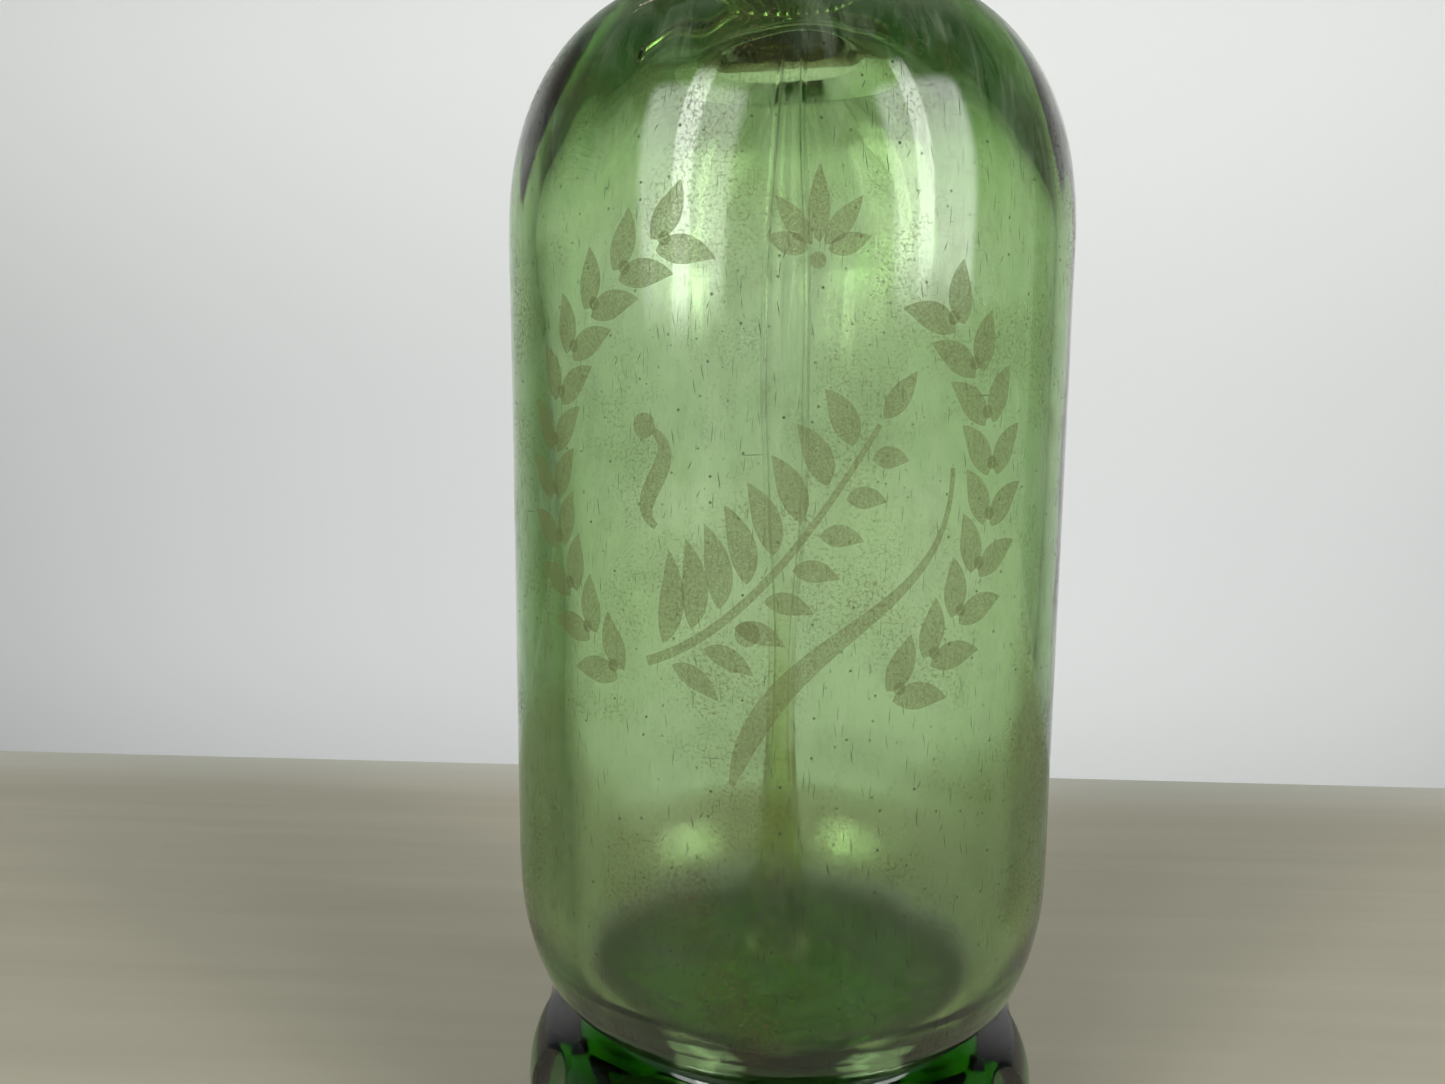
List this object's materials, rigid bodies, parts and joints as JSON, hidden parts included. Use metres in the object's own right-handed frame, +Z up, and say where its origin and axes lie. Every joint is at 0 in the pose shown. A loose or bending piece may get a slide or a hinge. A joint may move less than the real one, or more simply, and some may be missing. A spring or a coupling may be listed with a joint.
{
  "type": "glass soda siphon",
  "caption": "Refillable green glass soda siphon with a glass dip tube, a thumb lever that opens a sprung valve, and a curved spout.",
  "frame": {"origin": "on the bottle's axis, in the plane of the flat ring that it stands on", "axes": "+Z up along the bottle's axis, -X towards the spout, +X towards the lever's thumb end, -Y towards the side with the etched ornament"},
  "size_m": [0.1121, 0.096, 0.2989],
  "materials": {
    "green_glass": "thick moulded glass, lightly scratched, with a frosted etched ornament",
    "clear_glass": "drawn glass tube",
    "plated_brass": "worn nickel plate",
    "brass": "turned, dull",
    "spring_steel": "satin",
    "black_rubber": "matte",
    "red_fibre": "pressed fibre"
  },
  "bodies": {
    "bottle": {"glass_bottle": "green_glass", "dip_tube": "clear_glass", "tube_bushing": "black_rubber", "tube_nut": "brass", "mouth_gasket": "black_rubber", "split_ring_left": "brass", "split_ring_right": "brass", "collar_nut": "plated_brass", "head_body": "plated_brass", "valve_seat": "brass", "seat_gasket": "red_fibre", "return_spring": "spring_steel", "gland_washer": "brass", "packing_ring": "black_rubber", "gland_nut": "plated_brass", "spout": "plated_brass", "lever_pin": "spring_steel", "lever_pin_nut": "spring_steel"},
    "lever": {"lever": "plated_brass"},
    "valve": {"valve_stem": "brass", "valve_cup": "brass", "valve_washer": "black_rubber", "valve_nut": "brass", "stem_cap": "plated_brass"}
  },
  "joints": [
    {"name": "lever_hinge", "type": "hinge", "parent": "bottle", "child": "lever", "pos_m": [-0.0121, 0, 0.29363], "axis": [0, 1, 0], "range_deg": [0, 12], "stiffness_Nm_per_rad": 0.26, "springref_deg": -13.18},
    {"name": "valve_slide", "type": "slide", "parent": "bottle", "child": "valve", "axis": [0, 0, -1], "range_m": [0, 0.00254], "deforming": ["return_spring"]}
  ],
  "couplings": [
    {"joint": "valve_slide", "follows": "lever_hinge", "m_per_rad": 0.0121}
  ]
}
